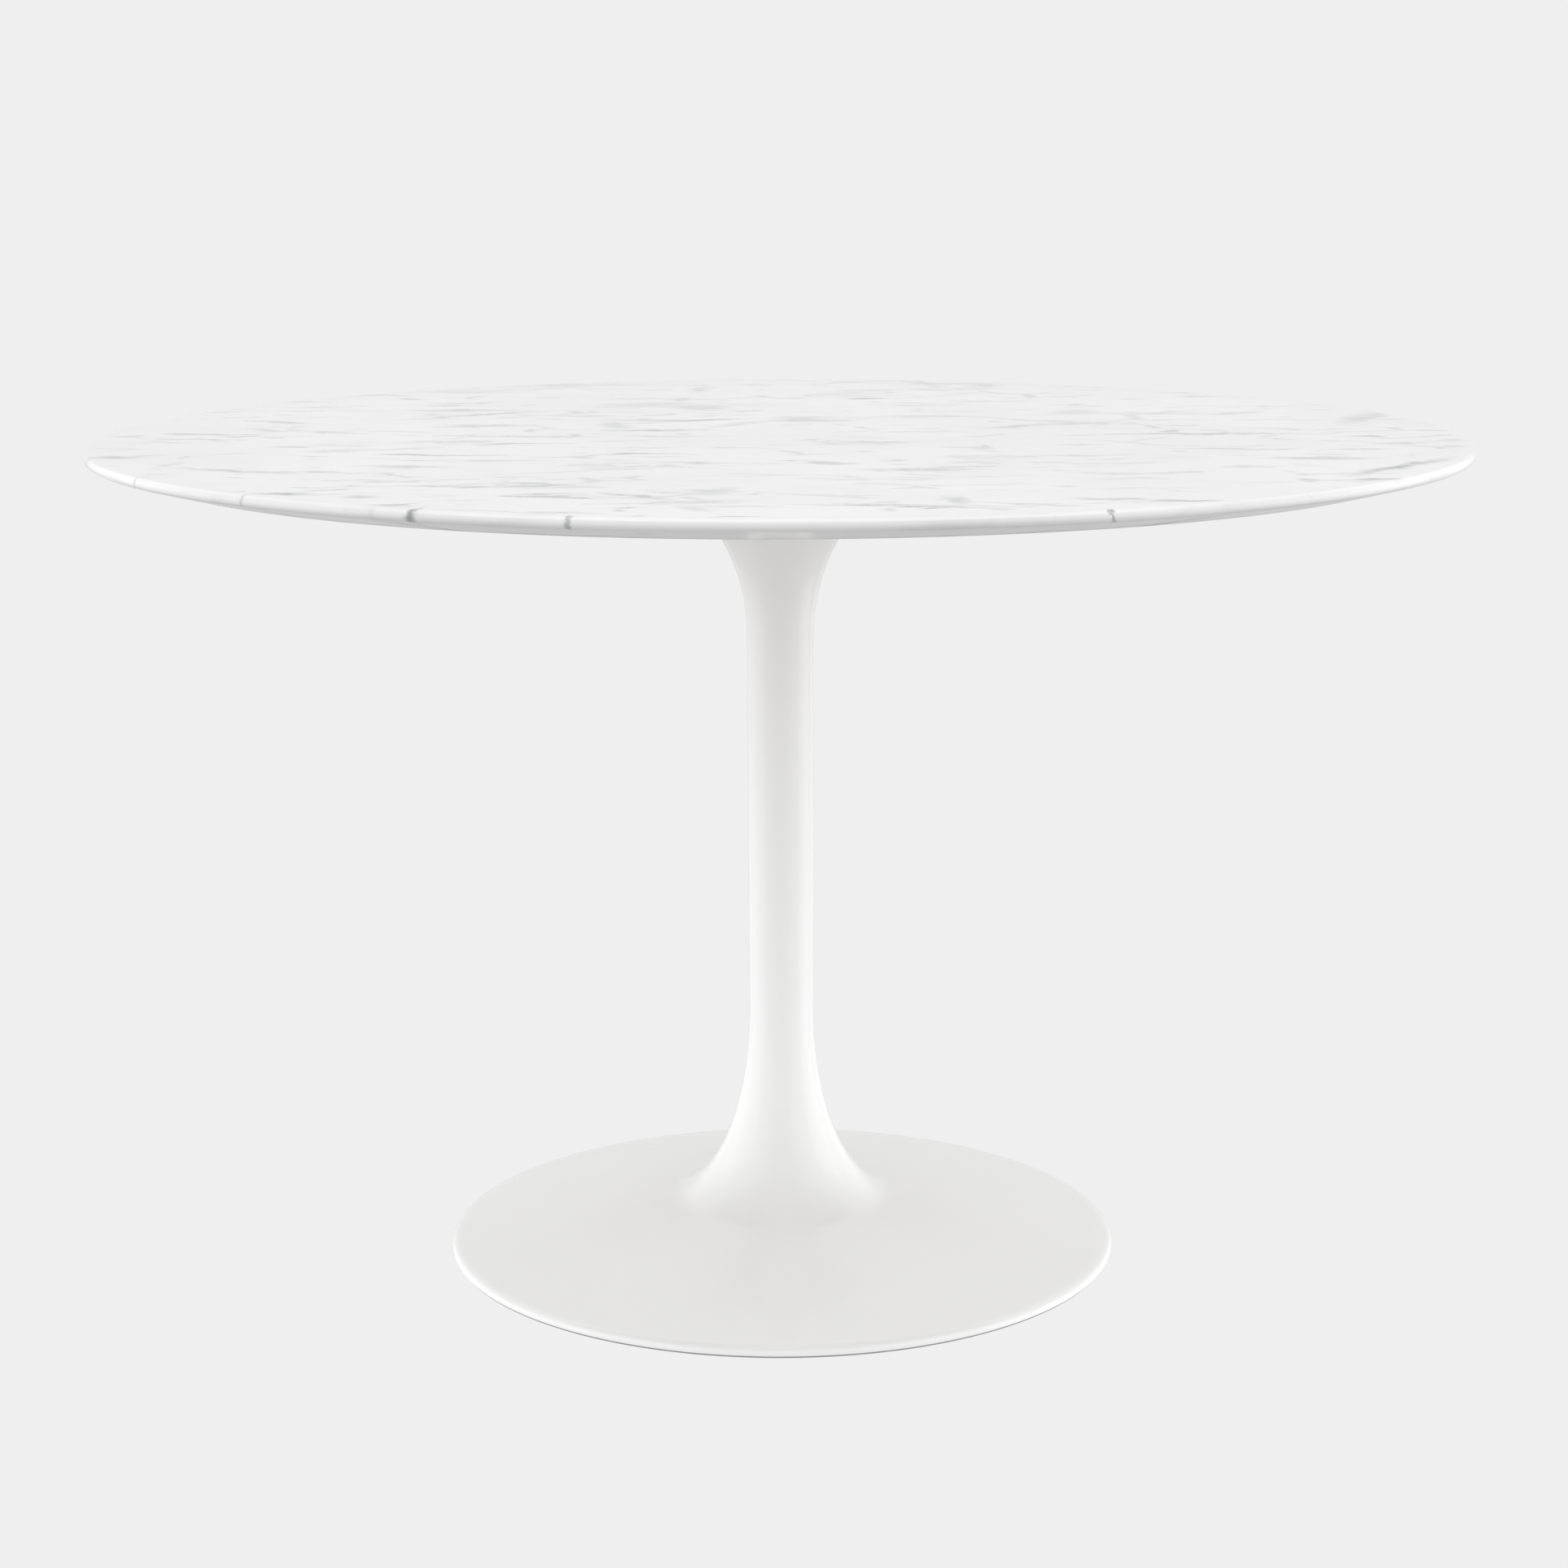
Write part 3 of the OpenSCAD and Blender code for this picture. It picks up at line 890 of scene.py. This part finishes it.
def stage_floor():
    """A pale floor that only the camera sees, and only from above, so that light comes from all round."""
    bm = bmesh.new()
    bmesh.ops.create_circle(bm, cap_ends=True, segments=64, radius=FLOOR_R)
    floor = finished(bm, "studio_floor")
    finish = Finish("pale_floor")
    glow = finish.node("ShaderNodeEmission", {"Color": (1, 1, 1, 1), "Strength": BACKDROP})
    clear = finish.node("ShaderNodeBsdfTransparent")
    side = finish.node("ShaderNodeNewGeometry").outputs["Backfacing"]
    shown = finish.node("ShaderNodeMixShader", {0: side, 1: glow.outputs[0], 2: clear.outputs[0]})
    finish.tree.links.new(shown.outputs[0], finish.tree.nodes["Material Output"].inputs["Surface"])
    floor.data.materials.append(finish.material)
    floor.visible_diffuse = floor.visible_glossy = floor.visible_shadow = False


# Soft surroundings: radiance by the height of the direction, from straight down (-1) to straight up (1)
SURROUND = [(-1.0, 0.40), (-0.5, 0.56), (-0.25, 1.04), (0.0, 1.34), (0.3, 1.38), (0.6, 1.12), (1.0, 0.80)]
SURROUND_MAX = 2.5
# The camera's side is dimmer: the direction's Y where that starts and where it is full, factor there
CAMERA_SIDE_Y, CAMERA_SIDE_DIM = (-0.80, -0.96), 0.77
# Round dimmer patches, on the far side and high in front: direction, cosine of the angle where it starts
# and where it is full, factor there
DIM_PATCHES = [
    ((0.0, 0.9945, 0.1045), 0.78, 0.95, 0.60),
    ((0.0, -0.77, 0.64), 0.80, 0.96, 0.57),
]
KEY_DIRECTION = (0.0, -0.05, 0.999)
KEY_RADIANCE = 0.95
KEY_EDGE = (0.90, 0.97)  # cosines, where it starts and where it is full


def studio_world():
    world = bpy.data.worlds.new("studio")
    bpy.context.scene.world = world
    world.use_nodes = True
    tree = world.node_tree
    tree.nodes.clear()

    def node(kind, inputs=(), **settings):
        return add_node(tree, kind, inputs, **settings)

    def toward(direction):
        inputs = {0: place, 1: direction}
        return node("ShaderNodeVectorMath", inputs, operation="DOT_PRODUCT").outputs["Value"]

    def fade(value, start, full, before, after):
        inputs = {"Value": value, "From Min": start, "From Max": full, "To Min": before, "To Max": after}
        return node("ShaderNodeMapRange", inputs, interpolation_type="SMOOTHSTEP").outputs[0]

    def product(a, b):
        return node("ShaderNodeMath", {0: a, 1: b}, operation="MULTIPLY").outputs[0]

    place = node("ShaderNodeTexCoord").outputs["Generated"]
    axes = node("ShaderNodeSeparateXYZ", {0: place})
    inputs = {"Value": axes.outputs["Z"], "From Min": -1.0, "From Max": 1.0}
    height = node("ShaderNodeMapRange", inputs).outputs[0]
    ramp = node("ShaderNodeValToRGB", {"Fac": height})
    stops = ramp.color_ramp.elements
    last = len(SURROUND) - 1
    for i, (z, radiance) in enumerate(SURROUND):
        position = (z + 1) / 2
        stop = stops[0] if i == 0 else stops[-1] if i == last else stops.new(position)
        stop.position = position
        stop.color = (*[radiance / SURROUND_MAX] * 3, 1)
    # Dimmer on the camera's side near the horizon, on the far side, and high in front
    near = fade(axes.outputs["Y"], *CAMERA_SIDE_Y, SURROUND_MAX, SURROUND_MAX * CAMERA_SIDE_DIM)
    far, above = [
        fade(toward(direction), start, full, 1.0, dim) for direction, start, full, dim in DIM_PATCHES
    ]
    dimmed = product(near, product(far, above))
    soft = node("ShaderNodeBackground", {"Color": ramp.outputs["Color"], "Strength": dimmed})
    # The key light: a soft round source, nearly straight up
    glow = fade(toward(KEY_DIRECTION), *KEY_EDGE, 0.0, KEY_RADIANCE)
    key = node("ShaderNodeBackground", {"Color": (1, 1, 1, 1), "Strength": glow})
    lit = node("ShaderNodeAddShader", {0: soft.outputs[0], 1: key.outputs[0]})
    plain = node("ShaderNodeBackground", {"Color": (1, 1, 1, 1), "Strength": BACKDROP})
    path = node("ShaderNodeLightPath")
    inputs = {0: path.outputs["Is Camera Ray"], 1: lit.outputs[0], 2: plain.outputs[0]}
    mix = node("ShaderNodeMixShader", inputs)
    node("ShaderNodeOutputWorld", {"Surface": mix.outputs[0]})


def softbox(name, place, aim, width, height, radiance):
    """A rectangular light of the given radiance, hidden from the camera."""
    data = bpy.data.lights.new(name, "AREA")
    data.shape = "RECTANGLE"
    data.size, data.size_y = width, height
    data.energy = radiance * width * height * math.pi
    box = bpy.data.objects.new(name, data)
    box.location = place
    box.rotation_mode = "QUATERNION"
    box.rotation_quaternion = (Vector(aim) - Vector(place)).to_track_quat("-Z", "Y")
    box.visible_camera = False
    bpy.context.scene.collection.objects.link(box)


CAMERA_PLACE = (0, -2.8655, 1.0222)
CAMERA_PITCH, CAMERA_ROLL = 11.74, -0.16  # degrees: pitch is down from level
LENS, SENSOR, SHIFT_X = 74.8, 36.0, 0.002


def camera():
    data = bpy.data.cameras.new("camera")
    data.lens, data.sensor_width = LENS, SENSOR
    data.clip_start, data.clip_end = 0.05, 200.0
    data.shift_x = SHIFT_X
    cam = bpy.data.objects.new("camera", data)
    pitch, roll = math.radians(CAMERA_PITCH), math.radians(CAMERA_ROLL)
    turn = Matrix.Rotation(math.pi / 2 - pitch, 4, "X") @ Matrix.Rotation(roll, 4, "Z")
    cam.matrix_world = Matrix.Translation(CAMERA_PLACE) @ turn
    bpy.context.scene.collection.objects.link(cam)
    bpy.context.scene.camera = cam


stage_floor()
studio_world()
softbox("left_box", (-2.4, 0.0, 0.3), (0, 0, 0.3), 2.8, 2.4, 0.46)
softbox("left_high_box", (-1.3, -0.6, 2.9), (0, 0, 0.7), 1.2, 1.2, 1.5)
softbox("right_high_box", (1.3, -0.6, 2.9), (0, 0, 0.7), 1.2, 1.2, 1.5)
softbox("right_box", (2.4, 0.0, 0.3), (0, 0, 0.3), 1.9, 2.4, 0.68)
camera()
bpy.context.scene.view_settings.view_transform = "Standard"
